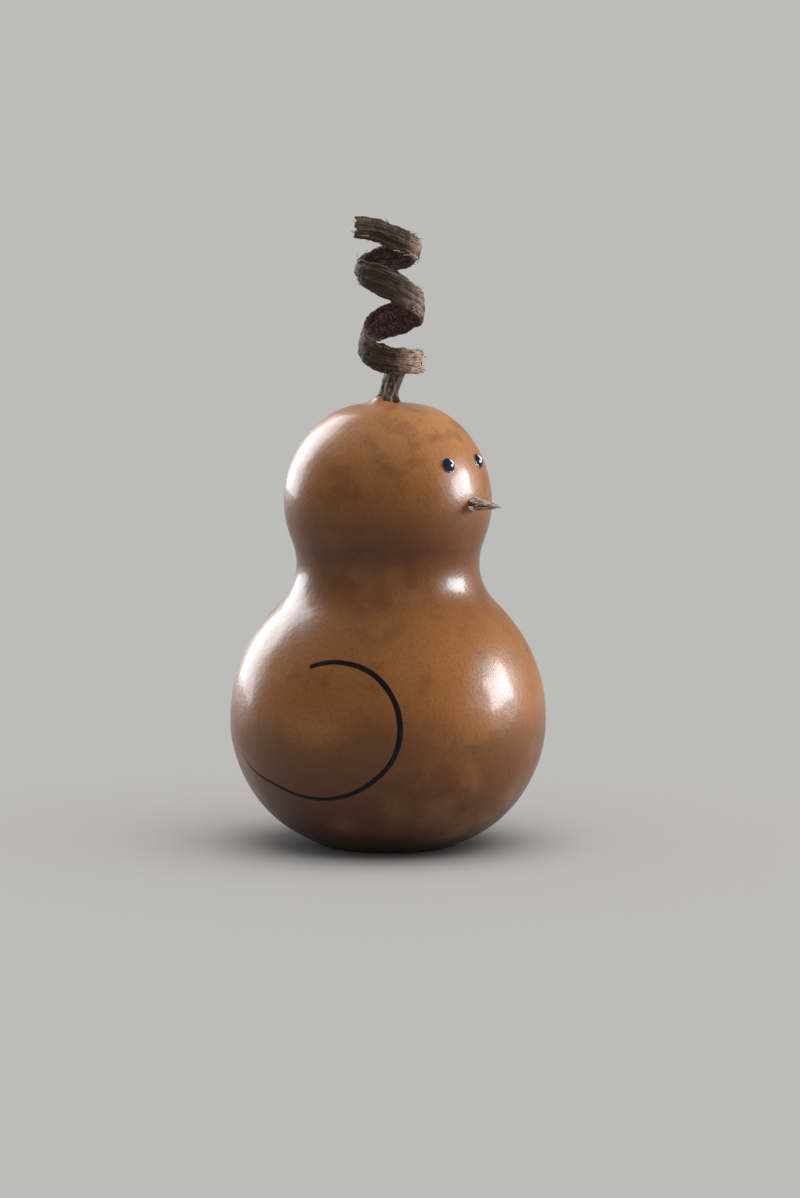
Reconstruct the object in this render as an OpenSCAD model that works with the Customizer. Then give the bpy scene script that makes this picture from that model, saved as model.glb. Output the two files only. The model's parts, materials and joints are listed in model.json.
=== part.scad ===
// A miniature bottle gourd, dried, varnished and dressed as a small bird.
// The bird looks along +X, its left side is +Y, and it stands on z = 0 at the middle of its foot.
// All sizes are in millimetres.

/* [Gourd] */
// Radius of the belly at its widest
belly_r = 41.3; // [39:0.1:44]
// Height of the widest part of the belly
belly_z = 33; // [31:0.1:33.5]
// Radius of the arc that carries the belly down to the foot
belly_arc_r = 34.5; // [34:0.1:36]
// Radius of the waist between the belly and the head
waist_r = 23.8; // [22:0.1:25]
// Radius of the head
head_r = 27.2; // [26:0.1:29]
// Height of the middle of the head
head_z = 90; // [88:0.5:94]
// Radius of the arc that rounds the crown over
crown_arc_r = 20; // [17:0.5:22]
// Thickness of the rind
wall = 3; // [2:0.1:3.5]
// Diameter of the hole that the stem fills
mouth_d = 4.6; // [4:0.1:5]

/* [Stem] */
// Height that the stem stands above the crown
stem_h = 11.5; // [9:0.5:12]
// Diameter of the stem at its broken top
stem_top_d = 4.8; // [3:0.1:5]
// Radius of the flare where the stem leaves the crown
flare_r = 4.4; // [3.6:0.1:4.8]
// Where the shank leaves the flare, along X and Y
stem_foot = [-0.6, -0.3];
// Where the shank ends, along X and Y
stem_head = [1.9, 0.9];

/* [Crest] */
// Radius of the coil, to the middle of the ribbon
curl_r = 8; // [7.8:0.1:9]
// Width of the ribbon at its widest
curl_w = 7.6; // [5:0.1:8]
// Thickness of the ribbon
curl_t = 1; // [0.8:0.1:1.2]
// Turns from the torn lower end to the cut upper end
curl_turns = 2.325; // [2:0.025:2.35]
// Direction of the torn lower end, seen from above
curl_start_angle = 20; // [0:1:40]
// Place of the coil's own axis at the crown, along X and Y
curl_axis = [-0.75, 3.1];
// How far the axis drifts from the crown to the top of the coil, along X and Y
curl_drift = [-1.7, -1.2];

/* [Eyes] */
// Diameter of an eye bead
eye_d = 4.1; // [3:0.1:5]
// Height of the bead's dome
eye_h = 0.9; // [0.6:0.1:1.8]
// Angle of each eye from straight ahead
eye_yaw = 16; // [10:0.5:25]
// Angle of each eye above the middle of the head
eye_lift = 24.5; // [15:0.5:35]
// Diameter of the glue pad under an eye
eye_glue_d = 4.5; // [4.3:0.1:5.5]

/* [Beak] */
// How far the tip of the beak stands out of the face
beak_l = 8.5; // [7:0.1:10]
// Half width of the beak at its root
beak_half_w = 2.4; // [1.8:0.1:3]
// Height of the line where the two halves meet, above the middle of the head
beak_z = 0.9; // [-2:0.1:4]
// How much shorter the lower half is
beak_under = 1.8; // [1:0.1:3]
// Diameter of the glue pad at the root
beak_glue_d = 5.4; // [4:0.1:6]

/* [Glue, pith and seeds] */
// Thickness of a glue pad
glue_t = 0.2; // [0.15:0.05:0.5]
// Thickness of the dried pith
pith_t = 0.5; // [0.3:0.1:0.8]
// Length, width and thickness of a seed
seed_size = [8, 4.6, 1.6];
// Number of seeds in the lower ring
floor_seeds = 8; // [5:1:9]
// Number of seeds that lie on them
upper_seeds = 6; // [3:1:7]

/* [Hidden] */

$fn = 96;
arc_step = 3;
gap = 0.05;
hull_fn = 32;

// The waist is the one circle that has the waist radius and touches both the belly and the head.
head_rise = head_z - belly_z;
touch_a = (head_rise * head_rise + belly_r * belly_r - head_r * head_r) / (2 * head_rise);
touch_b = (belly_r - head_r) / head_rise;
touch_p = belly_r - waist_r;
touch_half = touch_p - touch_a * touch_b;
touch_end = touch_a * touch_a - touch_p * (belly_r + waist_r);
waist_arc_r = (touch_half - sqrt(touch_half * touch_half - touch_b * touch_b * touch_end))
              / (touch_b * touch_b);
waist_x = waist_r + waist_arc_r;
waist_z = belly_z + touch_a + touch_b * waist_arc_r;
belly_angle = atan2(waist_z - belly_z, waist_x);
head_angle = atan2(waist_z - head_z, waist_x);

// The crown arc touches the head where it has turned this far up.
crown_angle = 45;
crown_x = (head_r - crown_arc_r) * cos(crown_angle);
crown_arc_z = head_z + (head_r - crown_arc_r) * sin(crown_angle);
crown_top = crown_arc_z + crown_arc_r;

// Points along an arc about c, from one angle up to, and not including, another
function arc(c, r, from, to) =
    let (n = ceil(abs(to - from) / arc_step))
    [for (i = [0:n - 1]) let (a = from + (to - from) * i / n) [c.x + r * cos(a), c.y + r * sin(a)]];

// Half outline of the gourd, from the middle of its foot to the middle of its crown
function gourd_outline(inset) = concat(
    [[0, inset]],
    arc([belly_r - belly_arc_r, belly_z], belly_arc_r - inset,
        -asin((belly_z - inset) / (belly_arc_r - inset)), 0),
    arc([0, belly_z], belly_r - inset, 0, belly_angle),
    arc([waist_x, waist_z], waist_arc_r + inset, 180 + belly_angle, 180 + head_angle),
    arc([0, head_z], head_r - inset, head_angle, crown_angle),
    arc([crown_x, crown_arc_z], crown_arc_r - inset, crown_angle, 90),
    [[crown_x, crown_top - inset], [0, crown_top - inset]]);

module gourd_solid(inset = 0) {
    rotate_extrude() polygon(gourd_outline(inset));
}

// The woody rind: one hollow shell with the hole that the stem fills
module gourd_shell() {
    color("peru") difference() {
        gourd_solid();
        gourd_solid(wall);
        translate([0, 0, crown_top - 2 * wall]) cylinder(h = 3 * wall, d = mouth_d);
    }
}

// The fruit's own stem: a plug in the hole, a flare on the crown and a leaning shank
plug_reach = 1.5;
shank_sink = 0.6;
stem_lean = stem_head - stem_foot;
lean_angle = atan2(norm(stem_lean), stem_h);
lean_turn = atan2(stem_lean.y, stem_lean.x);
shank_foot_r = 1.7;
// The shank's seam runs up its side, clear of the lean
shank_seam = 90;
flare_h = 2;

module gourd_stem() {
    plug_r = mouth_d / 2 - gap;
    color("#6b4c38") {
        translate([0, 0, crown_top - wall - plug_reach]) cylinder(h = wall + plug_reach, r = plug_r);
        translate([0, 0, crown_top]) rotate_extrude() polygon(concat(
            [[0, 0]],
            arc([flare_r, flare_h], flare_h, 270, 180),
            [[flare_r - flare_h, flare_h], [0, flare_h]]));
        translate([stem_foot.x, stem_foot.y, crown_top + shank_sink])
            rotate([0, lean_angle, lean_turn]) rotate([0, 0, shank_seam])
                cylinder(h = stem_h - shank_sink, r1 = shank_foot_r, r2 = stem_top_d / 2);
    }
}

// A dried pod curls unevenly. These follow the ribbon at each quarter turn, from its torn lower end:
// its height above the crown, its width as a part of curl_w, and its reach as a part of curl_r.
curl_rise = [11.4, 12.2, 17.2, 21.6, 26.2, 32.6, 35.2, 37.6, 40.6, 45.4, 47.2];
curl_width = [0.78, 0.98, 0.8, 1.15, 0.88, 1, 0.66, 0.86, 0.76, 0.76, 0.5];
curl_reach = [1.12, 1.02, 0.93, 0.98, 1.13, 1, 0.97, 0.98, 1.1, 1.05, 3];
curl_steps = 24;
curl_ring = 8;
cup = 0.5;

// A smooth curve through a list of values, one unit apart
function smooth_at(list, u) =
    let (i = max(0, min(floor(u), len(list) - 2)), t = u - i,
         p0 = list[max(i - 1, 0)], p1 = list[i], p2 = list[i + 1], p3 = list[min(i + 2, len(list) - 1)])
    p1 + t * (p2 - p0 + t * (2 * p0 - 5 * p1 + 4 * p2 - p3 + t * (3 * (p1 - p2) + p3 - p0))) / 2;

// Along the ribbon, u counts quarter turns. A rising ribbon turns clockwise, seen from above.
curl_end = 4 * curl_turns;
function curl_angle(u) = curl_start_angle - 90 * u;
function curl_radius(u) = curl_r * smooth_at(curl_reach, u);
function curl_middle(u) =
    let (rise = smooth_at(curl_rise, u), axis = curl_axis + curl_drift * rise / curl_rise[10])
    [axis.x + curl_radius(u) * cos(curl_angle(u)),
     axis.y + curl_radius(u) * sin(curl_angle(u)),
     crown_top + rise];
function curl_half_w(u) = curl_w / 2 * smooth_at(curl_width, u);
function unit(v) = v / norm(v);

// One ring round the ribbon: its outer face from one edge to the other, then its inner face back
function curl_section(u) =
    let (h = 0.05,
         along = unit(curl_middle(u + h) - curl_middle(u - h)),
         out = [cos(curl_angle(u)), sin(curl_angle(u)), 0],
         across = unit(cross(out, along)),
         face = cross(along, across),
         side = curl_ring / 2 - 1)
    [for (k = [0:curl_ring - 1])
        let (outer = k <= side, s = outer ? k / side : (curl_ring - 1 - k) / side, w = 2 * s - 1)
        curl_middle(u) + across * w * curl_half_w(u)
            + face * ((outer ? curl_t / 2 : -curl_t / 2) - cup * w * w)];

// The crest: a dried pod valve that has curled into a left-handed coil
module crest_curl() {
    last = round(curl_steps * curl_turns);
    points = [for (i = [0:last]) each curl_section(curl_end * i / last)];
    walls = [for (i = [0:last - 1], k = [0:curl_ring - 1])
        let (a = i * curl_ring, next = (k + 1) % curl_ring)
        each [[a + k, a + next, a + next + curl_ring], [a + k, a + next + curl_ring, a + k + curl_ring]]];
    start = [for (k = [curl_ring - 1:-1:0]) k];
    end = [for (k = [0:curl_ring - 1]) last * curl_ring + k];
    color("#5d4a3e") polyhedron(points, concat([start], walls, [end]), convexity = 10);
}

// A bead of glue that holds the coil's lowest band to the stem
glue_bead_r = 0.9;
glue_drop = 1;

module crest_glue() {
    tip = [stem_head.x, stem_head.y, crown_top + stem_h];
    toward = unit([curl_axis.x - stem_head.x, curl_axis.y - stem_head.y, 0]);
    color("#d8c6a0") translate(tip - toward * (stem_top_d / 2 + glue_bead_r + gap) - [0, 0, glue_drop])
        sphere(r = glue_bead_r);
}

// Carries a piece to the head's surface, with +X pointing straight out of it
module on_head(yaw, lift) {
    translate([0, 0, head_z]) rotate([0, -lift, yaw]) children();
}

// A thin round pad that follows the head's curve
module glue_pad(d) {
    spread = asin(d / 2 / head_r);
    color("#e6d9bd") rotate([0, 90, 0]) rotate_extrude() polygon(concat(
        arc([0, 0], head_r, 90, 90 - spread),
        arc([0, 0], head_r + glue_t, 90 - spread, 90),
        [[0, head_r + glue_t]]));
}

// A flat-backed bead: the cap of a sphere that has the bead's diameter and height
module eye_bead() {
    dome_r = (eye_d * eye_d / 4 + eye_h * eye_h) / (2 * eye_h);
    color("#10131f") translate([head_r + glue_t + gap, 0, 0]) difference() {
        translate([eye_h - dome_r, 0, 0]) sphere(r = dome_r);
        translate([-2 * dome_r, -dome_r, -dome_r]) cube(2 * dome_r);
    }
}

module eye_right() on_head(-eye_yaw, eye_lift) eye_bead();
module eye_left() on_head(eye_yaw, eye_lift) eye_bead();
module eye_glue_right() on_head(-eye_yaw, eye_lift) glue_pad(eye_glue_d);
module eye_glue_left() on_head(eye_yaw, eye_lift) glue_pad(eye_glue_d);

// The beak is two husk slivers. Each is a ridge and two edges that run together to a point.
beak_lift = asin(beak_z / head_r);
sliver_r = 0.5;
beak_gape = 0.5;
beak_ridge = 1.1;
beak_root_x = head_r - 0.6;
beak_cheek = 0.6;

module husk(reach, side) {
    root_z = head_z + beak_z + side * (beak_gape / 2 + sliver_r);
    difference() {
        hull() {
            for (y = [-beak_half_w, beak_half_w])
                translate([beak_root_x, y, root_z]) sphere(r = sliver_r, $fn = hull_fn);
            translate([beak_root_x, 0, root_z + side * beak_ridge / 2]) sphere(r = sliver_r, $fn = hull_fn);
            translate([beak_root_x + beak_cheek * reach, 0, root_z + side * 0.1])
                scale([1, 2.6, 1]) sphere(r = sliver_r, $fn = hull_fn);
            translate([head_r + reach, 0, head_z + beak_z + side * (sliver_r * 0.7 + gap)])
                sphere(r = sliver_r * 0.7, $fn = hull_fn);
        }
        translate([0, 0, head_z]) sphere(r = head_r + glue_t + gap);
    }
}

module beak_upper() color("#8a7663") husk(beak_l - sliver_r * 0.7, 1);
module beak_lower() color("#76624f") husk(beak_l - beak_under, -1);
module beak_glue() on_head(0, beak_lift) glue_pad(beak_glue_d);

// Papery pith that clings to the inside of the head
pith_low = 79;
pith_high = 100;
pith_arc = 300;

module dried_pith() {
    color("#e8dcc0") difference() {
        intersection() {
            gourd_solid(wall + 2 * gap);
            rotate([0, 0, 30]) rotate_extrude(angle = pith_arc)
                translate([waist_r / 2, pith_low]) square([head_r, pith_high - pith_low]);
        }
        gourd_solid(wall + 2 * gap + pith_t);
    }
}

// A seed lies flat with its middle at the origin and its point towards -X.
seed_tip_w = 1.4;
seed_rest = wall + 0.3;
seed_layer = seed_size.z + 0.9;
seed_tilt = 8;

module seed() {
    round_r = seed_size.y / 2;
    round_x = seed_size.x / 2 - round_r;
    color("#b99f78") linear_extrude(seed_size.z) union() {
        translate([round_x, 0]) circle(r = round_r);
        polygon([[round_x, round_r], [-seed_size.x / 2, seed_tip_w / 2],
                 [-seed_size.x / 2, -seed_tip_w / 2], [round_x, -round_r]]);
    }
}

module seed_ring(count, middle_r, tilt) {
    for (i = [0:count - 1])
        rotate([0, 0, 360 * i / count]) translate([middle_r, 0, 0]) rotate([0, -tilt, 0]) seed();
}

module seed_pair(turn) {
    for (side = [-1, 1])
        rotate([0, 0, turn]) translate([0, side * (seed_size.y / 2 + 0.2), 0]) seed();
}

module loose_seeds() {
    translate([0, 0, seed_rest]) {
        seed_ring(floor_seeds, 11.6, 0);
        seed_pair(0);
        translate([0, 0, seed_layer]) seed_ring(upper_seeds, 11.8, seed_tilt);
        translate([0, 0, seed_layer]) seed_pair(90);
    }
}

gourd_shell();
gourd_stem();
crest_curl();
crest_glue();
eye_right();
eye_left();
eye_glue_right();
eye_glue_left();
beak_upper();
beak_lower();
beak_glue();
dried_pith();
loose_seeds();
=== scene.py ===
# %% [markdown]
# # A bird made from a gourd
# A small bottle gourd has been dried, varnished and dressed as a bird: bead eyes, a beak of two husk
# slivers, a dark line round each wing, and a curled seed pod for a crest. The sizes come from the CAD
# model, which is loaded first as a fixed frame. Lengths are in metres, and MM is one millimetre. Where a
# list is in millimetres, the text before it says so. The bird looks along +X.

# %% Load the frame
import json
import math
import random

import bpy
from mathutils import Matrix, Vector, noise

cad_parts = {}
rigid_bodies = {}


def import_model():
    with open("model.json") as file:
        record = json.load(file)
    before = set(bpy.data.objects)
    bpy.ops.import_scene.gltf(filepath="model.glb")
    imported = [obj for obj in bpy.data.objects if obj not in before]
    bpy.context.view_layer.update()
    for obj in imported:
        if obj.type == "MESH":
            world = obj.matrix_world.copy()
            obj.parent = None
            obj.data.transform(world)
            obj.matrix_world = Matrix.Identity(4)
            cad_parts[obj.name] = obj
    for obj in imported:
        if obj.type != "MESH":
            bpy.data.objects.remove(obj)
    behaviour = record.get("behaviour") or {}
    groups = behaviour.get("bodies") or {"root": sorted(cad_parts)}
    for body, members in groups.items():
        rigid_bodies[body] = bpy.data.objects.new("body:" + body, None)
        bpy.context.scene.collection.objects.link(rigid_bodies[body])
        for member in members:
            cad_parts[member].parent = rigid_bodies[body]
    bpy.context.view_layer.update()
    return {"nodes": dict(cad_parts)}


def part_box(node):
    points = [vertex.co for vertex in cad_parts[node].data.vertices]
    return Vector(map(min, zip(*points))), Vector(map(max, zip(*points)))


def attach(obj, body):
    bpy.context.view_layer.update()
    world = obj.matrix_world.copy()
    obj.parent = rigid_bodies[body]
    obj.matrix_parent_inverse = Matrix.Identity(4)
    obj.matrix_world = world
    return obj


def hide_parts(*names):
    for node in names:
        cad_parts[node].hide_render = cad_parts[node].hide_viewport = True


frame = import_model()
MM = 0.001
_, shell_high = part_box("gourd_shell")
BELLY_R = shell_high[0]
CROWN = shell_high[2]
print("gourd radius and height", BELLY_R, CROWN)

# %% [markdown]
# ## The camera
# The bird is seen a little from above, from its right and slightly in front. A long lens far away keeps
# its round shape free of perspective, so the camera stands well back and its view is narrow.

# %% Point the camera
VIEW_TURN = math.radians(35)
VIEW_LIFT = math.radians(7)
VIEW_DISTANCE = 1.6
FRAME_HEIGHT = 0.3115
to_camera = Vector((math.sin(VIEW_TURN) * math.cos(VIEW_LIFT),
                    -math.cos(VIEW_TURN) * math.cos(VIEW_LIFT), math.sin(VIEW_LIFT)))
to_right = Vector((math.cos(VIEW_TURN), math.sin(VIEW_TURN), 0))
to_top = to_camera.cross(to_right)
AIM = Vector((0, 0, 0.0643)) + to_right * 3.1 * MM


def look_at(thing, place, target):
    """Puts a camera or a light at a place, looking at a target."""
    thing.location = place
    thing.rotation_euler = (target - place).to_track_quat("-Z", "Y").to_euler()


camera_data = bpy.data.cameras.new("camera")
camera_data.sensor_fit = "VERTICAL"
camera_data.angle = 2 * math.atan(FRAME_HEIGHT / 2 / VIEW_DISTANCE)
camera = bpy.data.objects.new("camera", camera_data)
bpy.context.scene.collection.objects.link(camera)
look_at(camera, AIM + to_camera * VIEW_DISTANCE, AIM)
bpy.context.scene.camera = camera
print("camera at", tuple(round(v, 3) for v in camera.location))

# %% [markdown]
# ## Working by hand, in code
# Each piece starts as a primitive and is shaped in edit mode. An operator acts on whatever is selected,
# so these helpers first clear the selection, and then choose faces and edges by their place.

# %% Helpers for modelling
def only(piece):
    """Selects one piece and makes it the active one."""
    bpy.ops.object.select_all(action="DESELECT")
    piece.select_set(True)
    bpy.context.view_layer.objects.active = piece


def add(primitive, name, **settings):
    """Adds a primitive with nothing else selected, and names it."""
    bpy.ops.object.select_all(action="DESELECT")
    primitive(**settings)
    piece = bpy.context.object
    piece.name = name
    piece.data.name = name
    return piece


def editing(piece, on=True):
    """Goes into edit mode on a piece with all of it selected, or comes out again."""
    if not on:
        bpy.ops.object.mode_set(mode="OBJECT")
        return
    only(piece)
    bpy.ops.object.mode_set(mode="EDIT")
    bpy.ops.mesh.select_all(action="SELECT")


def modify(piece, kind, **settings):
    """Adds a modifier to a piece, sets it and applies it."""
    only(piece)
    modifier = piece.modifiers.new(kind, kind)
    for key, value in settings.items():
        setattr(modifier, key, value)
    bpy.ops.object.modifier_apply(modifier=modifier.name)


def smooth(piece, levels):
    """Rounds a piece with Catmull-Clark subdivision."""
    modify(piece, "SUBSURF", levels=levels, render_levels=levels)


def shade(piece, angle):
    """Shades a piece smooth, but keeps an edge where it turns by more than an angle in degrees."""
    only(piece)
    bpy.ops.object.shade_smooth_by_angle(angle=math.radians(angle))


def roughen(piece, strength, size, depth=2):
    """Pushes a surface in and out along its normals by a cloudy pattern of a given size."""
    clouds = bpy.data.textures.new(piece.name + "_clouds", "CLOUDS")
    clouds.noise_scale = size
    clouds.noise_depth = depth
    modify(piece, "DISPLACE", texture=clouds, strength=strength, mid_level=0.5, texture_coords="LOCAL")


def settle(piece, angle=40):
    """Puts a piece's place in its mesh, closes its seams, turns its faces outwards and shades it."""
    only(piece)
    bpy.ops.object.transform_apply(location=True, rotation=True, scale=True)
    editing(piece)
    bpy.ops.mesh.remove_doubles(threshold=1e-6)
    bpy.ops.mesh.normals_make_consistent(inside=False)
    editing(piece, on=False)
    shade(piece, angle)
    print(piece.name, len(piece.data.polygons), "faces")


def stand_for(piece, node):
    """Puts a piece on the gourd's body and hides the CAD node that it stands for."""
    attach(piece, "gourd")
    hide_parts(node)


# %% [markdown]
# ## The rind
# The rind is a hollow shell turned like a pot. A ring of edges starts round the stem's hole and is
# extruded down the outside, one ring at a time. A ray against the CAD shell feels each ring's height on
# the crown and its radius below that, so that the rind follows the CAD. The last, small ring is filled
# under the foot.

# %% Feel the CAD shell
cad_shell = frame["nodes"]["gourd_shell"]


def radius_at(height):
    """The CAD shell's outer radius at a height."""
    return cad_shell.ray_cast((1, 0, height), (-1, 0, 0))[1].x


def height_at(radius):
    """The height of the CAD shell's crown at a radius."""
    return cad_shell.ray_cast((radius, 0, 1), (0, 0, -1))[1].z


MOUTH_R = 2.4 * MM
CROWN_EDGE = 15 * MM
CROWN_RINGS = 7
SIDE_RINGS = 42
FOOT_PARTS = (1, 0.97, 0.8, 0.55, 0.3, 0.1)
ABOVE_FOOT = 0.02 * MM
HEAD_LEVELS = range(80, 105)
crown_side = height_at(CROWN_EDGE)
foot_r = radius_at(ABOVE_FOOT)
crown_radii = [MOUTH_R + (CROWN_EDGE - MOUTH_R) * i / CROWN_RINGS for i in range(CROWN_RINGS + 1)]
rings = [(radius, height_at(radius)) for radius in crown_radii]
side_heights = [crown_side * (1 - i / SIDE_RINGS) for i in range(1, SIDE_RINGS)]
rings += [(radius_at(height), height) for height in side_heights]
rings += [(foot_r * part, 0) for part in FOOT_PARTS]
head_height = max((radius_at(level * MM), level * MM) for level in HEAD_LEVELS)[1]
print(len(rings), "rings, foot radius", foot_r)
print("the head is widest at", head_height)

# %% Turn the rind
RIND_SIDES = 48
rind = add(bpy.ops.mesh.primitive_circle_add, "rind", vertices=RIND_SIDES, radius=rings[0][0],
           location=(0, 0, rings[0][1]), fill_type="NOTHING")
editing(rind)
for (radius, height), (next_radius, next_height) in zip(rings, rings[1:]):
    bpy.ops.mesh.extrude_region_move(TRANSFORM_OT_translate={"value": (0, 0, next_height - height)})
    shrink = next_radius / radius
    bpy.ops.transform.resize(value=(shrink, shrink, 1), center_override=(0, 0, next_height))
bpy.ops.mesh.edge_face_add()
editing(rind, on=False)
smooth(rind, 2)
settle(rind)

# %% [markdown]
# No fruit grows quite round. A broad, shallow pattern of hollows and a fine one make the rind uneven, and
# round the stem it is drawn up into a small collar, higher on one side. The foot is pressed flat again so
# that the bird stands. Only then does the wall get its thickness, inwards.

# %% Make the rind uneven and give it a wall
COLLAR_R = 7 * MM
COLLAR_RISE = 1.45 * MM
COLLAR_HOLLOW = 1.4
COLLAR_HIGH_SIDE = Vector((-0.8, -0.5, 0)).normalized()
COLLAR_SKEW = 0.85
FOOT_PRESS = 0.1 * MM
WALL = 3 * MM

roughen(rind, strength=0.7 * MM, size=0.034)
roughen(rind, strength=0.14 * MM, size=0.006)
for vertex in rind.data.vertices:
    flat = Vector((vertex.co.x, vertex.co.y, 0))
    if vertex.co.z > crown_side and flat.length < COLLAR_R:
        part = (COLLAR_R - flat.length) / (COLLAR_R - MOUTH_R)
        skew = 1 + COLLAR_SKEW * flat.normalized().dot(COLLAR_HIGH_SIDE)
        vertex.co.z += COLLAR_RISE * part ** COLLAR_HOLLOW * skew
lowest = min(vertex.co.z for vertex in rind.data.vertices)
for vertex in rind.data.vertices:
    vertex.co.z = max(vertex.co.z - lowest - FOOT_PRESS, 0)
modify(rind, "SOLIDIFY", thickness=WALL, offset=-1)
shade(rind, 60)
stand_for(rind, "gourd_shell")
print("rind", len(rind.data.polygons), "faces")

# %% [markdown]
# Everything else is stuck to the rind, so its pieces find the surface with a ray. The middle of the head
# is where the head is widest.

# %% Find places on the rind
HEAD = Vector((0, 0, head_height))
OUTSIDE = 0.1


def on_rind(target, direction):
    """The point and the normal where a line that comes back along a direction to a target meets the rind."""
    direction = direction.normalized()
    _, place, normal, _ = rind.ray_cast(target + direction * OUTSIDE, -direction)
    return place, normal


def middle(node):
    """The middle of a CAD node's box."""
    low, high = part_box(node)
    return (Vector(low) + Vector(high)) / 2


def turned_to(direction):
    """A turn that carries +Z to a direction, keeping +Y as level as it can."""
    return direction.to_track_quat("Z", "Y").to_matrix().to_4x4()


print("the glue of the beak is at", middle("beak_glue"))

# %% [markdown]
# ## The wing lines
# Each wing is one dark line, drawn round in a loop that opens into a long tail behind. It is paint, so
# it could be a pattern in the rind's finish, but a thin raised strip keeps a crisp edge from every side.
# Seen from the side, the line turns round a middle point, and a list gives its distance from that point
# in millimetres, at equal steps of angle.

# %% Follow the wing
WING_MIDDLE = (7.5 * MM, 33.3 * MM)
WING_START = 109
WING_STEP = 25
WING_REACH = [18.35, 19, 19.6, 19.4, 18.8, 17.8, 16.3, 15.75, 16.3, 18.1, 22, 30.6]
LINE_W = 1.3 * MM
LINE_TAIL_W = 0.8 * MM
LINE_THINNING = 2.2
LINE_WOBBLE = 0.12
PAINT = 0.04 * MM


def smooth_at(values, u):
    """A smooth curve through a list of values, one unit apart."""
    i = max(0, min(int(u), len(values) - 2))
    t = u - i
    before, start, end = values[max(i - 1, 0)], values[i], values[i + 1]
    after = values[min(i + 2, len(values) - 1)]
    cubic = 3 * (start - end) + after - before
    return start + t * (end - before + t * (2 * before - 5 * start + 4 * end - after + t * cubic)) / 2


def wing_point(u):
    """The wing line's place in the side view, as X and Z, after a number of steps."""
    reach = smooth_at(WING_REACH, u) * MM
    turn = math.radians(WING_START - WING_STEP * u)
    return Vector((WING_MIDDLE[0] + reach * math.cos(turn), WING_MIDDLE[1] + reach * math.sin(turn)))


print("the wing line starts at", wing_point(0), "and ends at", wing_point(len(WING_REACH) - 1))

# %% [markdown]
# A long, narrow grid is laid along the line. Each of its points is dropped sideways onto the rind. The
# middle of the line is lifted by most of the paint's thickness, and its edges are sunk just below the
# surface, so no gap shows under them.

# %% Draw the wing lines
def draw_wing(name, side):
    """Lays one wing line on the rind. side is -1 for the bird's right and 1 for its left."""
    line = add(bpy.ops.mesh.primitive_grid_add, name, x_subdivisions=200, y_subdivisions=6, size=2)
    for vertex in line.data.vertices:
        part = (vertex.co.x + 1) / 2
        across = vertex.co.y
        u = part * (len(WING_REACH) - 1)
        here = wing_point(u)
        ahead = wing_point(u + 0.05) - wing_point(u - 0.05)
        out = Vector((-ahead.y, ahead.x)).normalized()
        width = LINE_W + (LINE_TAIL_W - LINE_W) * part ** LINE_THINNING
        width *= 1 + LINE_WOBBLE * noise.noise(Vector((part * 16, side, 0)))
        start_taper = 0.7 + part * 40
        tail_taper = 0.3 + (1 - part) * 14
        width *= min(1, start_taper, tail_taper)
        here += out * across * width / 2
        place, normal = on_rind(Vector((here.x, 0, here.y)), Vector((0, side, 0)))
        vertex.co = place + normal * PAINT * (0.8 - across ** 4)
    settle(line)
    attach(line, "gourd")
    return line


wings = [draw_wing("wing_line_right", -1), draw_wing("wing_line_left", 1)]

# %% [markdown]
# ## The crest
# The crest is half of a dried seed pod, curled into a coil. Its width, its reach and its rise change
# from turn to turn, so the ribbon follows short lists with one value for each quarter turn: its rise
# above the crown in millimetres, and its width and reach as shares of CURL_W and CURL_R. A curve with a
# bevel could follow them too, but it couldn't be torn at the ends.

# %% Follow the coil
CURL_AXIS = Vector((-0.75, 3.1, 0)) * MM
CURL_DRIFT = Vector((-1.7, -1.2, 0)) * MM
CURL_R = 8 * MM
CURL_W = 7.6 * MM
CURL_T = 0.9 * MM
CURL_WOBBLE = 0.3
CURL_TWIST = 0.35
CURL_START = 20
CURL_TURNS = 2.325
CURL_RISE = [11.4, 12.2, 17.2, 21.6, 26.2, 32.6, 35.2, 37.6, 40.6, 45.4, 47.2]
CURL_WIDTH = [0.78, 0.98, 0.8, 1.15, 0.88, 1, 0.66, 0.86, 0.76, 0.76, 0.5]
CURL_REACH = [1.12, 1.02, 0.93, 0.98, 1.13, 1, 0.97, 0.98, 1.1, 1.05, 3]
CURL_END = 4 * CURL_TURNS


def curl_middle(u):
    """The middle of the ribbon at u quarter turns from its torn lower end."""
    turn = math.radians(CURL_START - 90 * u)
    rise = smooth_at(CURL_RISE, u)
    reach = CURL_R * smooth_at(CURL_REACH, u) + CURL_WOBBLE * MM * noise.noise(Vector((u * 2.3, 4, 0)))
    axis = CURL_AXIS + CURL_DRIFT * rise / CURL_RISE[-1]
    height = CROWN + (rise + CURL_WOBBLE * noise.noise(Vector((u * 2.6, 9, 0)))) * MM
    return axis + Vector((reach * math.cos(turn), reach * math.sin(turn), height))


def curl_frame(u):
    """The ribbon's middle, and its directions along, across and out of its face."""
    step = 0.04
    along = (curl_middle(u + step) - curl_middle(u - step)).normalized()
    turn = math.radians(CURL_START - 90 * u)
    out = Vector((math.cos(turn), math.sin(turn), 0))
    across = out.cross(along).normalized()
    twist = Matrix.Rotation(CURL_TWIST * noise.noise(Vector((u * 1.3, 2, 5))), 3, along)
    return curl_middle(u), along, twist @ across, twist @ along.cross(across)


def torn(across, seed, reach):
    """How far a torn end is bitten back at a place across the ribbon, in quarter turns."""
    bite = noise.noise(Vector((across * 2.3, seed, 0))) + 0.6 * noise.noise(Vector((across * 7, seed, 3)))
    return reach * (0.5 + bite)


print("coil of", CURL_TURNS, "turns, top at", round(curl_middle(CURL_END).z, 4))

# %% [markdown]
# A flat grid is wound along the coil. Its ends are torn, its edges are ragged, and its fibres stand up as
# fine ridges. The edges roll inwards, more and more towards the top.

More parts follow.
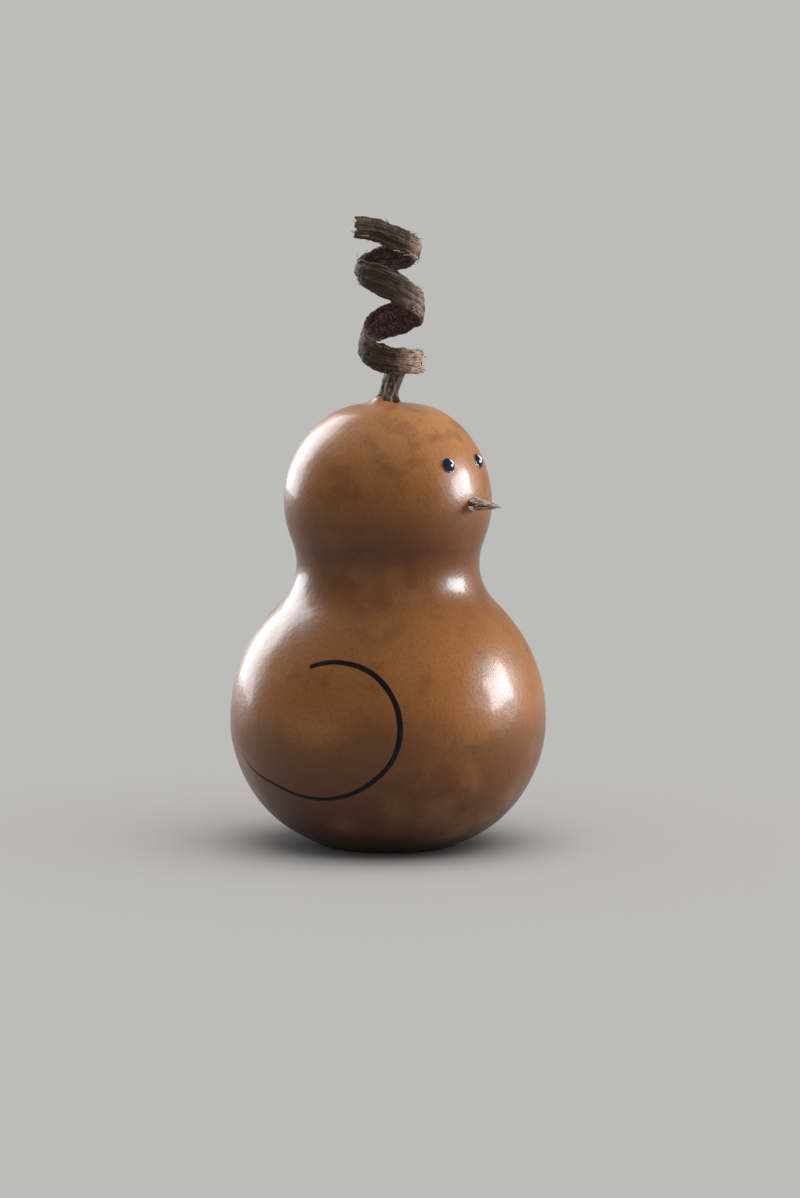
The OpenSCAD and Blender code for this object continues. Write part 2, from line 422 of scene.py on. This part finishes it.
# %% Wind the ribbon
RIDGE = 0.2 * MM
KNOT = 0.35 * MM
LOW_TEAR = 0.2
HIGH_TEAR = 0.05
EDGE_WEAR = 0.14
crest = add(bpy.ops.mesh.primitive_grid_add, "crest", x_subdivisions=260, y_subdivisions=20, size=2,
            calc_uvs=True)
for vertex in crest.data.vertices:
    part = (vertex.co.x + 1) / 2
    across = vertex.co.y
    low = torn(across, 1, LOW_TEAR)
    high = CURL_END - torn(across, 5, HIGH_TEAR)
    u = low + (high - low) * part
    place, _, side, face = curl_frame(u)
    half = CURL_W / 2 * smooth_at(CURL_WIDTH, u)
    edge = noise.noise(Vector((u * 3.1, math.copysign(3, across), 0)))
    edge += 0.7 * noise.noise(Vector((u * 8.3, math.copysign(6, across), 0)))
    half *= 1 + EDGE_WEAR * edge * abs(across) ** 3
    roll = (0.5 + 1.1 * part) * MM
    wander = noise.noise(Vector((u * 0.8, 0, 0)))
    ridge = math.sin(across * 10 + 3 * wander + 2.5 * noise.noise(Vector((u * 0.9, across * 2, 1))))
    ridge += 1.4 * noise.noise(Vector((u * 2.2, across * 7, 8)))
    knot = KNOT * noise.noise(Vector((u * 3.3, across * 1.4, 12)))
    vertex.co = place + side * across * half + face * (RIDGE * ridge + knot - roll * across * across)
settle(crest)
modify(crest, "SOLIDIFY", thickness=CURL_T, offset=0)
smooth(crest, 1)
roughen(crest, strength=0.5 * MM, size=0.0016)
roughen(crest, strength=0.25 * MM, size=0.0006)
shade(crest, 60)
stand_for(crest, "crest_curl")
print("crest", len(crest.data.polygons), "faces")

# %% [markdown]
# Where the pod has torn, its fibres stick out as splinters. One bent splinter is drawn out of a small
# ring, in three steps that each get thinner.

# %% Draw out one splinter
SPLINTER_STEPS = 3
SPLINTER_BEND = 0.12
SPLINTER_TAPER = 0.62
splinter = add(bpy.ops.mesh.primitive_circle_add, "splinter", vertices=5, radius=0.5, fill_type="NGON")
editing(splinter)
for step in range(SPLINTER_STEPS):
    bpy.ops.mesh.extrude_region_move(TRANSFORM_OT_translate={"value": (SPLINTER_BEND * step, 0, 0.33)})
    bpy.ops.transform.resize(value=(SPLINTER_TAPER, SPLINTER_TAPER, 1),
                             center_override=(SPLINTER_BEND / 2 * step * (step + 1), 0, 0))
editing(splinter, on=False)
print("one splinter", len(splinter.data.vertices), "points")

# %% [markdown]
# Copies of it are scattered at both torn ends, at the sharp turns and along the edges. Each group is one
# line of a list: how many, where along the coil and across it, how they lean, and their lengths and
# thicknesses in millimetres. The draws are seeded, so they fall the same way each time. All the copies
# are joined into one piece.

# %% Scatter splinters
SPLINTER_EDGE = 0.95
SPLINTER_ROOT = 0.25
TEARS = [
    (40, (0.02, 0.35), (0, 1), (-1, 0.3, 0.15), (1.2, 3.2), (0.35, 0.7)),
    (12, (5.5, 6.0), (0.3, 1), (-1, 0.2, 0.1), (1.5, 3), (0.4, 0.7)),
    (20, (7.6, 8.3), (0.3, 1), (-1, 0.15, 0.1), (2, 4), (0.3, 0.6)),
    (12, (3.6, 4.4), (0.6, 1), (-1, 0.2, 0.1), (1.5, 3), (0.3, 0.5)),
    (12, (9.1, 9.28), (0.2, 1), (1, 0.2, 0.05), (0.8, 1.6), (0.3, 0.6)),
    (50, (0.4, 9.2), (0.94, 1), (0.9, 0.25, 0), (0.8, 2), (0.2, 0.4)),
]
chance = random.Random(7)


def scatter(count, u_range, across_range, lean, length, thickness):
    """Copies of the splinter on the ribbon. lean is how much each points along, across and outwards."""
    copies = []
    for _ in range(count):
        place, along, side, face = curl_frame(chance.uniform(*u_range))
        half = CURL_W / 2 * smooth_at(CURL_WIDTH, u_range[0])
        across = chance.uniform(*across_range) * chance.choice((-1, 1))
        point = along * lean[0] + side * (lean[1] * across + chance.uniform(-0.2, 0.2)) + face * lean[2]
        point += Vector([chance.uniform(-0.1, 0.1) for _ in range(3)])
        long = chance.uniform(*length) * MM
        thick = chance.uniform(*thickness) * MM
        size = Matrix.Diagonal((thick, thick, long, 1))
        spin = Matrix.Rotation(chance.uniform(0, math.tau), 4, "Z")
        copy = splinter.copy()
        copy.data = splinter.data.copy()
        bpy.context.scene.collection.objects.link(copy)
        start = place + side * across * half * SPLINTER_EDGE - point.normalized() * long * SPLINTER_ROOT
        copy.matrix_world = Matrix.Translation(start) @ turned_to(point) @ spin @ size
        copies.append(copy)
    return copies


splinters = [copy for tear in TEARS for copy in scatter(*tear)]
bpy.data.objects.remove(splinter)
only(splinters[0])
for copy in splinters:
    copy.select_set(True)
bpy.ops.object.join()
fibres = bpy.context.object
fibres.name = "crest_fibres"
fibres.data.name = "crest_fibres"
settle(fibres)
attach(fibres, "gourd")

# %% [markdown]
# ## The stem
# The stem is woody and ribbed. A ring is extruded straight up from the plug inside the rind, out over the
# crown as a flare and up the shank. Its points are then moved: two waves round the stem pull it into
# broad and narrow ribs, the flare droops onto the rind, and the shank leans. Each ring is given as its
# height above the crown and its radius, both in millimetres, as are the stem's other levels.

# %% Grow the stem
STEM_FOOT = Vector((-0.7, -0.5, 0)) * MM
STEM_HEAD = Vector((2.5, 1.75, 0)) * MM
STEM_H = 11.5
STEM_RINGS = [(-4.4, 0.5), (-4.4, 2), (-2, 2.15), (0.3, 2.2), (1.1, 2.4), (1.3, 3), (1.7, 3.1), (2.3, 2.7),
              (3, 2.45), (3.8, 2.45), (5, 2.6), (6.6, 2.6), (8.2, 2.65), (9.8, 2.65), (11, 2.5), (11.6, 2.1),
              (11.4, 1.1), (11.2, 0.4)]
STEM_SIDES = 36
FLARE_LEVEL = 1.5
FLARE_SPREAD = 1.1
FLARE_DROOP = 0.7 * MM
RIBS_FROM = 0.6
RIB_DEPTH = 0.08
FLARE_RIB_DEPTH = 0.15
JAG = 0.6 * MM
JAG_FROM = 10.5
stem = add(bpy.ops.mesh.primitive_circle_add, "stem", vertices=STEM_SIDES, radius=STEM_RINGS[0][1] * MM,
           location=(0, 0, CROWN + STEM_RINGS[0][0] * MM), fill_type="NGON")
editing(stem)
for (height, radius), (next_height, next_radius) in zip(STEM_RINGS, STEM_RINGS[1:]):
    bpy.ops.mesh.extrude_region_move(TRANSFORM_OT_translate={"value": (0, 0, (next_height - height) * MM)})
    growth = next_radius / radius
    bpy.ops.transform.resize(value=(growth, growth, 1), center_override=(0, 0, CROWN + next_height * MM))
editing(stem, on=False)
settle(stem)
for vertex in stem.data.vertices:
    height = (vertex.co.z - CROWN) / MM
    turn = math.atan2(vertex.co.y, vertex.co.x)
    outward = Vector((math.cos(turn), math.sin(turn), 0))
    flare = max(0, 1 - abs(height - FLARE_LEVEL) / FLARE_SPREAD)
    ribs = math.sin(5 * turn + height * 0.3) + 0.6 * math.sin(9 * turn + 1)
    grown = 1 + (RIB_DEPTH + FLARE_RIB_DEPTH * flare) * ribs if height > RIBS_FROM else 1
    lean = STEM_FOOT * min(1, max(0, height) / 2) + (STEM_HEAD - STEM_FOOT) * max(0, height / STEM_H)
    jag = JAG * noise.noise(vertex.co / (1.2 * MM)) if height > JAG_FROM else 0
    droop = FLARE_DROOP * flare * (1 - COLLAR_HIGH_SIDE.dot(outward)) / 2
    vertex.co = Vector((vertex.co.x * grown, vertex.co.y * grown, vertex.co.z + jag - droop)) + lean
settle(stem)
smooth(stem, 2)
roughen(stem, strength=0.45 * MM, size=0.0011)
shade(stem, 50)
stand_for(stem, "gourd_stem")

# %% [markdown]
# ## The glue
# Craft glue dries clear and a little yellow. Each blob is a ball, flattened and pushed out of round.
# The blob in the crest sits between the stem's top and the coil's lowest band.

# %% Squeeze out the glue
def blob(name, node, place, direction, width, thickness, uneven=0.3):
    """A flattened ball of glue at a place on the object, lying square to a direction."""
    made = add(bpy.ops.mesh.primitive_uv_sphere_add, name, segments=32, ring_count=16, radius=0.5)
    made.matrix_world = (Matrix.Translation(place) @ turned_to(direction)
                         @ Matrix.Diagonal((width, width, thickness, 1)))
    settle(made)
    roughen(made, uneven * width, width * 0.6, depth=1)
    only(made)
    bpy.ops.object.shade_smooth()
    stand_for(made, node)
    return made


glue_place = middle("crest_glue")
crest_glue = blob("crest_glue_blob", "crest_glue", glue_place, Vector((0, 0, 1)), 2.6 * MM, 3 * MM)

# %% [markdown]
# ## The eyes
# Each eye is a flat-backed bead: a ball cut off well above its middle, with the sharp rim eased by a
# small bevel. It is shaped lying on its back and then carried to the face.

# %% Set the eyes
EYE_D = 3.9 * MM
EYE_H = 1 * MM
EYE_RIM = 0.16 * MM
GLUE_T = 0.15 * MM
GLUE_RING_W = 1.09
GLUE_RING_T = 0.6 * MM
dome_r = (EYE_D ** 2 / 4 + EYE_H ** 2) / (2 * EYE_H)


def set_eye(side):
    """One eye and its ring of glue. side is right or left."""
    direction = (middle("eye_" + side) - HEAD).normalized()
    place, _ = on_rind(HEAD, direction)
    eye = add(bpy.ops.mesh.primitive_uv_sphere_add, "bead_" + side, segments=48, ring_count=40,
              radius=dome_r, location=(0, 0, EYE_H - dome_r))
    editing(eye)
    bpy.ops.mesh.bisect(plane_co=(0, 0, 0), plane_no=(0, 0, 1), use_fill=True, clear_inner=True)
    editing(eye, on=False)
    settle(eye)
    modify(eye, "BEVEL", width=EYE_RIM, segments=3, limit_method="ANGLE", angle_limit=math.radians(35))
    only(eye)
    eye.matrix_world = Matrix.Translation(place + direction * GLUE_T) @ turned_to(direction)
    settle(eye, angle=50)
    stand_for(eye, "eye_" + side)
    glue = blob("glue_ring_" + side, "eye_glue_" + side, place, direction, EYE_D * GLUE_RING_W,
                GLUE_RING_T, uneven=0.04)
    return eye, glue


eyes = [set_eye(side) for side in ("right", "left")]

# %% [markdown]
# ## The beak
# The beak is two slivers of husk that stand a little off the face on their glue. A husk is an arched
# shell, broad at the root, with its sides curving in to a blunt point. A grid is arched into each shell
# and given a thickness. The lower one is arched downwards, like a keel.

# %% Shape the beak
BEAK_L = 8.3 * MM
BEAK_HALF_W = 2.4 * MM
BEAK_BLUNT = 0.5
LOWER_SHORT = 1.2 * MM
NOD = 0.07
FRAY = 0.5 * MM
RIB = 0.09 * MM
ROOT_BACK = 0.35 * MM
face_point, _ = on_rind(Vector((0, 0, middle("beak_glue").z)), Vector((1, 0, 0)))


def shape_husk(name, node, reach, arch, gape, wall, seed):
    """One arched sliver. arch is its height at the root, and gape its height above the beak's middle."""
    husk = add(bpy.ops.mesh.primitive_grid_add, name, x_subdivisions=60, y_subdivisions=26, size=2,
               calc_uvs=True)
    for vertex in husk.data.vertices:
        across = vertex.co.y
        part = (vertex.co.x + 1) / 2
        bite = FRAY * noise.noise(Vector((across * 3, seed, 0))) * (1 - part) ** 4
        taper = (1 - part) ** BEAK_BLUNT
        wave = 0.1 * noise.noise(Vector((part * 5, math.copysign(2, across), seed)))
        half = BEAK_HALF_W * taper * (1 + wave) + 0.1 * MM
        ribs = RIB * math.sin(across * 14 + seed) * taper
        curve = (1 - abs(across) ** 2.4) * taper
        height = arch * curve + gape * (1 - part) + math.copysign(ribs, arch)
        back = ROOT_BACK * (1 - across * across)
        nod = NOD * part * reach
        vertex.co = face_point + Vector((part * reach + bite - back, half * across, height - nod))
    settle(husk)
    modify(husk, "SOLIDIFY", thickness=wall, offset=0)
    smooth(husk, 1)
    roughen(husk, strength=0.16 * MM, size=0.0007)
    shade(husk, 50)
    stand_for(husk, node)
    return husk


upper = shape_husk("husk_upper", "beak_upper", BEAK_L, arch=1.15 * MM, gape=0.42 * MM, wall=0.35 * MM,
                   seed=1)
lower = shape_husk("husk_lower", "beak_lower", BEAK_L - LOWER_SHORT, arch=-1.15 * MM, gape=-0.5 * MM,
                   wall=0.4 * MM, seed=4)
beak_glue = blob("beak_glue_blob", "beak_glue", face_point, Vector((1, 0, 0)), 3.6 * MM, 1.2 * MM,
                 uneven=0.1)

# %% [markdown]
# ## Shader maths in plain Python
# A finish is a graph of nodes. A Link wraps one node's output, so that 1 - mask or a * b adds the Math
# node by itself. A Finish makes every other node with one method and keeps colours in Mix nodes.

# %% Links and finishes
class Link:
    """One output of a node."""

    def __init__(self, finish, socket):
        self.finish = finish
        self.socket = socket

    def __add__(self, other):
        return self.finish.maths("ADD", self, other)

    def __sub__(self, other):
        return self.finish.maths("SUBTRACT", self, other)

    def __rsub__(self, other):
        return self.finish.maths("SUBTRACT", other, self)

    def __mul__(self, other):
        return self.finish.maths("MULTIPLY", self, other)

    __radd__ = __add__
    __rmul__ = __mul__


class Finish:
    """A procedural material on the Principled shader. Constants are set on the shader's own sockets."""

    def __init__(self, name, constants):
        self.material = bpy.data.materials.new(name)
        self.material.use_nodes = True
        self.tree = self.material.node_tree
        self.shader = self.tree.nodes["Principled BSDF"]
        for key, value in constants.items():
            self.shader.inputs[key].default_value = value
        self.place = self.node("ShaderNodeTexCoord", out="Object")

    def node(self, kind, settings=None, sockets=None, out=0):
        """Any node: its settings are set first, then the values or links of its sockets."""
        made = self.tree.nodes.new(kind)
        for key, value in (settings or {}).items():
            if key == "stops":
                self.set_stops(made.color_ramp.elements, value)
            else:
                setattr(made, key, value)
        for key, value in (sockets or {}).items():
            self.feed(made.inputs[key], value)
        return Link(self, made.outputs[out])

    def feed(self, socket, value):
        """Links a socket, or sets its value."""
        if isinstance(value, Link):
            self.tree.links.new(value.socket, socket)
        else:
            socket.default_value = value

    def set_stops(self, elements, stops):
        """Sets a colour ramp's stops, given as places and colours."""
        while len(elements) < len(stops):
            elements.new(0.5)
        for element, (place, colour) in zip(elements, stops):
            element.position = place
            element.color = (*colour, 1)

    def maths(self, operation, a, b):
        """One Math node on two values or links."""
        return self.node("ShaderNodeMath", {"operation": operation}, {0: a, 1: b})

    def mix(self, amount, a, b):
        """One colour turning into another."""
        colours = {6: a if isinstance(a, Link) else (*a, 1), 7: b if isinstance(b, Link) else (*b, 1)}
        return self.node("ShaderNodeMix", {"data_type": "RGBA"}, {0: amount, **colours}, out=2)

    def between(self, value, low, high):
        """0 below one value and 1 above another, with a smooth step."""
        return self.node("ShaderNodeMapRange", {"interpolation_type": "SMOOTHSTEP"},
                         {"Value": value, "From Min": low, "From Max": high})

    def cloud(self, size, detail=3, where=None, stretch=(1, 1, 1)):
        """Soft noise with features of a size, which may be stretched."""
        mapped = self.node("ShaderNodeMapping", {}, {"Vector": where or self.place, "Scale": stretch})
        return self.node("ShaderNodeTexNoise", {}, {"Vector": mapped, "Scale": 1 / size, "Detail": detail})

    def height(self):
        """The Z of the place."""
        return self.node("ShaderNodeSeparateXYZ", {}, {"Vector": self.place}, out="Z")

    def bump(self, relief, depth):
        """Raises the surface by a relief from 0 to 1, over a depth in metres."""
        sockets = {"Height": relief, "Distance": depth, "Strength": 1}
        normal = self.node("ShaderNodeBump", {}, sockets, out="Normal")
        self.feed(self.shader.inputs["Normal"], normal)

    def colour(self, value):
        """Sets the base colour."""
        self.feed(self.shader.inputs["Base Color"], value)

    def roughness(self, value):
        """Sets the roughness."""
        self.feed(self.shader.inputs["Roughness"], value)

    def put_on(self, *pieces):
        """Gives pieces this finish and no other."""
        for piece in pieces:
            piece.data.materials.clear()
            piece.data.materials.append(self.material)
        print(self.material.name, "is on", ", ".join(piece.name for piece in pieces))


# %% [markdown]
# ## The varnished rind
# The rind is orange-brown: tan at the crown, russet round the neck and amber round the belly. The dark
# under the belly is painted shade, where the underside faces away from the light. It could be
# painted on an unwrapped map, but a ramp over the height, pushed about by soft blotches, has no seam.
# Soft mottling runs over all of it. The varnish is glossy, with fine wrinkles that break up the edges of
# its highlights.

# %% Finish the rind
UMBER = (0.03, 0.01, 0.004)
RUSSET = (0.11, 0.031, 0.006)
COPPER = (0.155, 0.053, 0.011)
AMBER = (0.25, 0.09, 0.018)
TAN = (0.35, 0.15, 0.05)
# Painted shade for the underside of the belly.
PAINTED_UNDERSHADE = (0.06, 0.018, 0.004)
SHOULDER = (0.21, 0.076, 0.014)

rind_finish = Finish("varnished_rind", {"Specular IOR Level": 0.3, "Coat Weight": 0.2,
                                        "Coat Roughness": 0.14})
blotch = rind_finish.cloud(22 * MM, 3)
mottle = rind_finish.cloud(7 * MM, 4)
speckle = rind_finish.cloud(0.7 * MM, 3)
level = rind_finish.height() * (1 / CROWN) + (blotch - 0.5) * 0.14
# The two darkest stops, at the foot, are painted shade under the belly.
bands = rind_finish.node("ShaderNodeValToRGB", {"stops": [
    (0, UMBER), (0.07, PAINTED_UNDERSHADE), (0.16, RUSSET), (0.27, COPPER), (0.34, AMBER), (0.44, AMBER),
    (0.52, SHOULDER), (0.61, COPPER), (0.68, RUSSET), (0.75, COPPER), (0.84, AMBER), (0.98, TAN)]},
    {"Fac": level})
patched = rind_finish.mix(rind_finish.between(mottle, 0.5, 0.72) * 0.4, bands, RUSSET)
warmed = rind_finish.mix(rind_finish.between(blotch, 0.54, 0.72) * 0.35, patched, TAN)
grained = rind_finish.mix(rind_finish.between(speckle, 0.42, 0.72) * 0.22, warmed, UMBER)
rind_finish.colour(grained)
rind_finish.roughness(0.3 + mottle * 0.12)
wrinkle = rind_finish.cloud(1.2 * MM, 2)
rind_finish.bump(wrinkle * 0.7 + speckle * 0.3, 0.08 * MM)
rind_finish.put_on(rind)

# %% [markdown]
# The wing lines are black-brown ink, worn to brown in patches. They mirror much less than the varnish, so
# that they stay dark where a lamp shines on the rind.

# %% Finish the wing lines
ink = Finish("wing_ink", {"Roughness": 0.45, "Specular IOR Level": 0.15})
worn = ink.cloud(1.5 * MM, 3)
ink.colour(ink.mix(ink.between(worn, 0.5, 0.8) * 0.5, (0.006, 0.005, 0.005), (0.03, 0.016, 0.01)))
ink.bump(worn, 0.03 * MM)
ink.put_on(*wings)

# %% [markdown]
# ## Pod, stem and husk
# Dry plant fibre is matt and streaky. The streaks follow the ribbon because they are drawn on its own
# UV map, stretched along its length. The skin has worn off to tan wood at the torn ends. At the sharp
# turns the same pale tan is partly worn wood and partly painted sheen, where the turns catch the light.
# The inside of the pod is speckled, so the finish asks whether a face looks away from the coil's axis or
# towards it. The splinters have no skin left, so they are paler.

# %% Finish the crest
SOUND = (0, 0, 0)
WORN = (1, 1, 1)
pod = Finish("curled_pod", {"Roughness": 0.75, "Specular IOR Level": 0.3})
ribbon = pod.node("ShaderNodeTexCoord", out="UV")
streak = pod.cloud(1, 4, ribbon, (9, 26, 1))
fine = pod.cloud(1, 3, ribbon, (40, 90, 1))
grit = pod.cloud(0.5 * MM, 3)
from_axis = pod.node("ShaderNodeVectorMath", {"operation": "SUBTRACT"},
                     {0: pod.place, 1: tuple(CURL_AXIS)})
level_out = pod.node("ShaderNodeVectorMath", {"operation": "MULTIPLY"}, {0: from_axis, 1: (1, 1, 0)})
outwards = pod.node("ShaderNodeVectorMath", {"operation": "NORMALIZE"}, {0: level_out})
facing = pod.node("ShaderNodeVectorMath", {"operation": "DOT_PRODUCT"},
                  {0: outwards, 1: pod.node("ShaderNodeNewGeometry", out="Normal")}, "Value")
skin = pod.mix(pod.between(streak, 0.42, 0.65), (0.016, 0.009, 0.006), (0.085, 0.05, 0.03))
skin = pod.mix(pod.between(fine, 0.52, 0.74) * 0.45, skin, (0.26, 0.17, 0.1))
along_pod = pod.node("ShaderNodeSeparateXYZ", {}, {"Vector": ribbon}, out="X")
# Pale tan along the ribbon: worn wood at the torn ends, and partly painted sheen at the sharp turns.
wear_and_sheen = pod.node("ShaderNodeValToRGB", {"stops": [
    (0, WORN), (0.035, WORN), (0.075, SOUND), (0.37, SOUND), (0.43, (0.5,) * 3), (0.49, SOUND),
    (0.61, SOUND), (0.66, (0.5,) * 3), (0.7, SOUND), (0.82, SOUND), (0.87, (0.8,) * 3), (0.9, SOUND),
    (0.98, SOUND), (1, (0.3,) * 3)]}, {"Fac": along_pod})
chips = pod.cloud(1, 4, ribbon, (60, 22, 1))
skin = pod.mix(pod.between(chips, 0.36, 0.55) * wear_and_sheen, skin, (0.33, 0.21, 0.15))
inside = pod.mix(pod.between(grit, 0.42, 0.68), (0.045, 0.025, 0.02), (0.17, 0.105, 0.085))
pod.colour(pod.mix(pod.between(facing, -0.25, 0.2), inside, skin))
pod.bump(streak * 0.5 + grit * 0.5, 0.32 * MM)
pod.put_on(crest)

torn_fibre = Finish("torn_fibre", {"Roughness": 0.75})
pale = torn_fibre.cloud(0.9 * MM, 2)
fibre_tone = torn_fibre.mix(torn_fibre.between(pale, 0.35, 0.65), (0.13, 0.085, 0.055), (0.42, 0.32, 0.22))
torn_fibre.colour(fibre_tone)
torn_fibre.put_on(fibres)

# %% [markdown]
# The stem is dry bark. Noise stretched upwards gives it a grain, and paler patches lie over that.

# %% Finish the stem
bark = Finish("dry_stem", {"Roughness": 0.7})
grain = bark.cloud(1.2 * MM, 4, None, (1, 1, 0.25))
moss = bark.cloud(3 * MM, 2)
wood = bark.mix(bark.between(grain, 0.4, 0.66), (0.02, 0.012, 0.007), (0.13, 0.08, 0.046))
bark.colour(bark.mix(bark.between(moss, 0.55, 0.75) * 0.4, wood, (0.3, 0.22, 0.14)))
bark.bump(grain, 0.3 * MM)
bark.put_on(stem)

# %% [markdown]
# The husk is striped along its length and frayed to a pale colour in specks. At the root of the lower
# sliver the finish paints one pale patch, which it finds by its place along the husk, across it and below
# the middle of the beak. It is colour only, with nothing in the mesh under it.

# %% Finish the beak
husk = Finish("beak_husk", {"Roughness": 0.55})
lengthwise = husk.node("ShaderNodeTexCoord", out="UV")
stripe = husk.cloud(1, 3, lengthwise, (2, 15, 1))
stripes = husk.mix(husk.between(stripe, 0.4, 0.6), (0.1, 0.06, 0.04), (0.5, 0.37, 0.28))
frayed = husk.mix(husk.between(husk.cloud(0.7 * MM, 2), 0.5, 0.72) * 0.5, stripes, (0.75, 0.64, 0.52))
along_husk = husk.node("ShaderNodeSeparateXYZ", {}, {"Vector": lengthwise}, out="X")
over_husk = husk.node("ShaderNodeSeparateXYZ", {}, {"Vector": lengthwise}, out="Y")
below = (face_point.z - husk.height()) * (1 / MM)
# One pale patch at the root of the lower sliver, painted in colour only.
pale_patch = (1 - husk.between(along_husk, 0.17, 0.2)) * (1 - husk.between(over_husk, 0.3, 0.34))
pale_patch = pale_patch * husk.between(below, 0.1, 0.3)
husk.colour(husk.mix(pale_patch, frayed, (0.8, 0.72, 0.62)))
husk.bump(stripe, 0.12 * MM)
husk.put_on(upper, lower)

# %% [markdown]
# ## Beads and glue
# The beads are a very dark blue-black and mirror the lamps. The glue is clear: it lets light through
# and shows as a pale, wet-looking ring.

# %% Finish the beads and the glue
bead = Finish("black_bead", {"Roughness": 0.12, "Specular IOR Level": 0.6})
bead.colour(bead.mix(bead.cloud(1.5 * MM, 2), (0.002, 0.003, 0.009), (0.006, 0.01, 0.035)))
bead.put_on(*[eye for eye, _ in eyes])

glue = Finish("clear_glue", {"Transmission Weight": 0.85, "IOR": 1.45})
cloudy = glue.cloud(0.8 * MM, 3)
glue.colour(glue.mix(cloudy, (0.66, 0.46, 0.3), (0.9, 0.8, 0.68)))
glue.roughness(0.08 + cloudy * 0.2)
glue.put_on(crest_glue, beak_glue, *[ring for _, ring in eyes])

# %% [markdown]
# ## Inside the gourd
# A gourd dried whole keeps its seeds and a skin of papery pith. Nobody sees them, but they are there
# when the model is cut open, so the CAD pieces keep their shape and get finishes of their own.

# %% Finish the seeds and the pith
seed_coat = Finish("seed_coat", {"Roughness": 0.6})
vein = seed_coat.cloud(1.1 * MM, 4)
seed_coat.colour(seed_coat.mix(seed_coat.between(vein, 0.35, 0.7), (0.22, 0.13, 0.07),
                               (0.52, 0.38, 0.23)))
seed_coat.bump(vein, 0.1 * MM)
seed_coat.put_on(frame["nodes"]["loose_seeds"])

pith = Finish("papery_pith", {"Roughness": 0.9})
thread = pith.cloud(3 * MM, 5, None, (1, 1, 0.3))
pith.colour(pith.mix(pith.between(thread, 0.35, 0.7), (0.42, 0.33, 0.2), (0.75, 0.68, 0.5)))
pith.bump(thread, 0.4 * MM)
pith.put_on(frame["nodes"]["dried_pith"])

# %% [markdown]
# ## Floor and light
# A plain pale floor and soft lamps. The varnish shows the lamps as bright patches, so each lamp stands
# where its patch belongs: a window to the right and a tall one behind on the left. They light the bird and
# leave the floor alone, so no glare comes up from it. A third lamp puts the bright wedge on the bead eyes
# and lights nothing else. The even light comes from the pale surroundings and from a broad overhead sun
# that the varnish doesn't mirror.

# %% Set the stage
floor = add(bpy.ops.mesh.primitive_plane_add, "floor", size=60)
paper = Finish("pale_floor", {"Base Color": (0.6, 0.59, 0.57, 1), "Roughness": 0.9,
                              "Specular IOR Level": 0.1})
paper.put_on(floor)

world = bpy.data.worlds.new("studio")
bpy.context.scene.world = world
world.use_nodes = True
sky = world.node_tree.nodes["Background"].inputs
sky["Color"].default_value = (0.86, 0.89, 0.92, 1)
sky["Strength"].default_value = 0.36
bpy.context.scene.view_settings.view_transform = "Standard"
print("floor and surroundings are set")

# %% [markdown]
# Each lamp's direction is given as the camera sees it: how far to the right, how far up and how far
# towards the camera. That is how a highlight is steered to its place.

# %% Hang the lamps
LAMP_DISTANCE = 1.0
COOL = (0.9, 0.94, 1)


def lamp_from(name, kind, direction, distance, power, **settings):
    """A lamp in a direction given as right, up and towards the camera."""
    data = bpy.data.lights.new(name, kind)
    data.energy = power
    for key, value in settings.items():
        setattr(data, key, value)
    lamp = bpy.data.objects.new(name, data)
    bpy.context.scene.collection.objects.link(lamp)
    right, up, near = direction
    place = (to_right * right + to_top * up + to_camera * near).normalized() * distance
    look_at(lamp, AIM + place, AIM)
    print(name, "lamp at", tuple(round(v, 2) for v in lamp.location))
    return lamp


bird = bpy.data.collections.new("bird")
for thing in bpy.context.scene.objects:
    if thing.type == "MESH" and thing != floor:
        bird.objects.link(thing)

window = lamp_from("window", "AREA", (0.94, 0.24, -0.05), LAMP_DISTANCE, 16, shape="RECTANGLE",
                   size=0.5, size_y=0.32, color=COOL)
rim = lamp_from("rim", "AREA", (-0.72, 0.55, -0.72), LAMP_DISTANCE, 14.5, shape="RECTANGLE",
                size=0.62, size_y=0.9, color=COOL)
for lamp in (window, rim):
    lamp.light_linking.receiver_collection = bird

beads = bpy.data.collections.new("beads")
for eye, _ in eyes:
    beads.objects.link(eye)
glint = lamp_from("glint", "AREA", (0.6, 0.5, -0.62), LAMP_DISTANCE, 9, shape="RECTANGLE",
                  size=0.5, size_y=0.5, color=COOL)
glint.light_linking.receiver_collection = beads
sun = lamp_from("overhead", "SUN", (0.15, 1, 0.3), 1.5, 1.75, angle=math.radians(70))
sun.visible_glossy = False
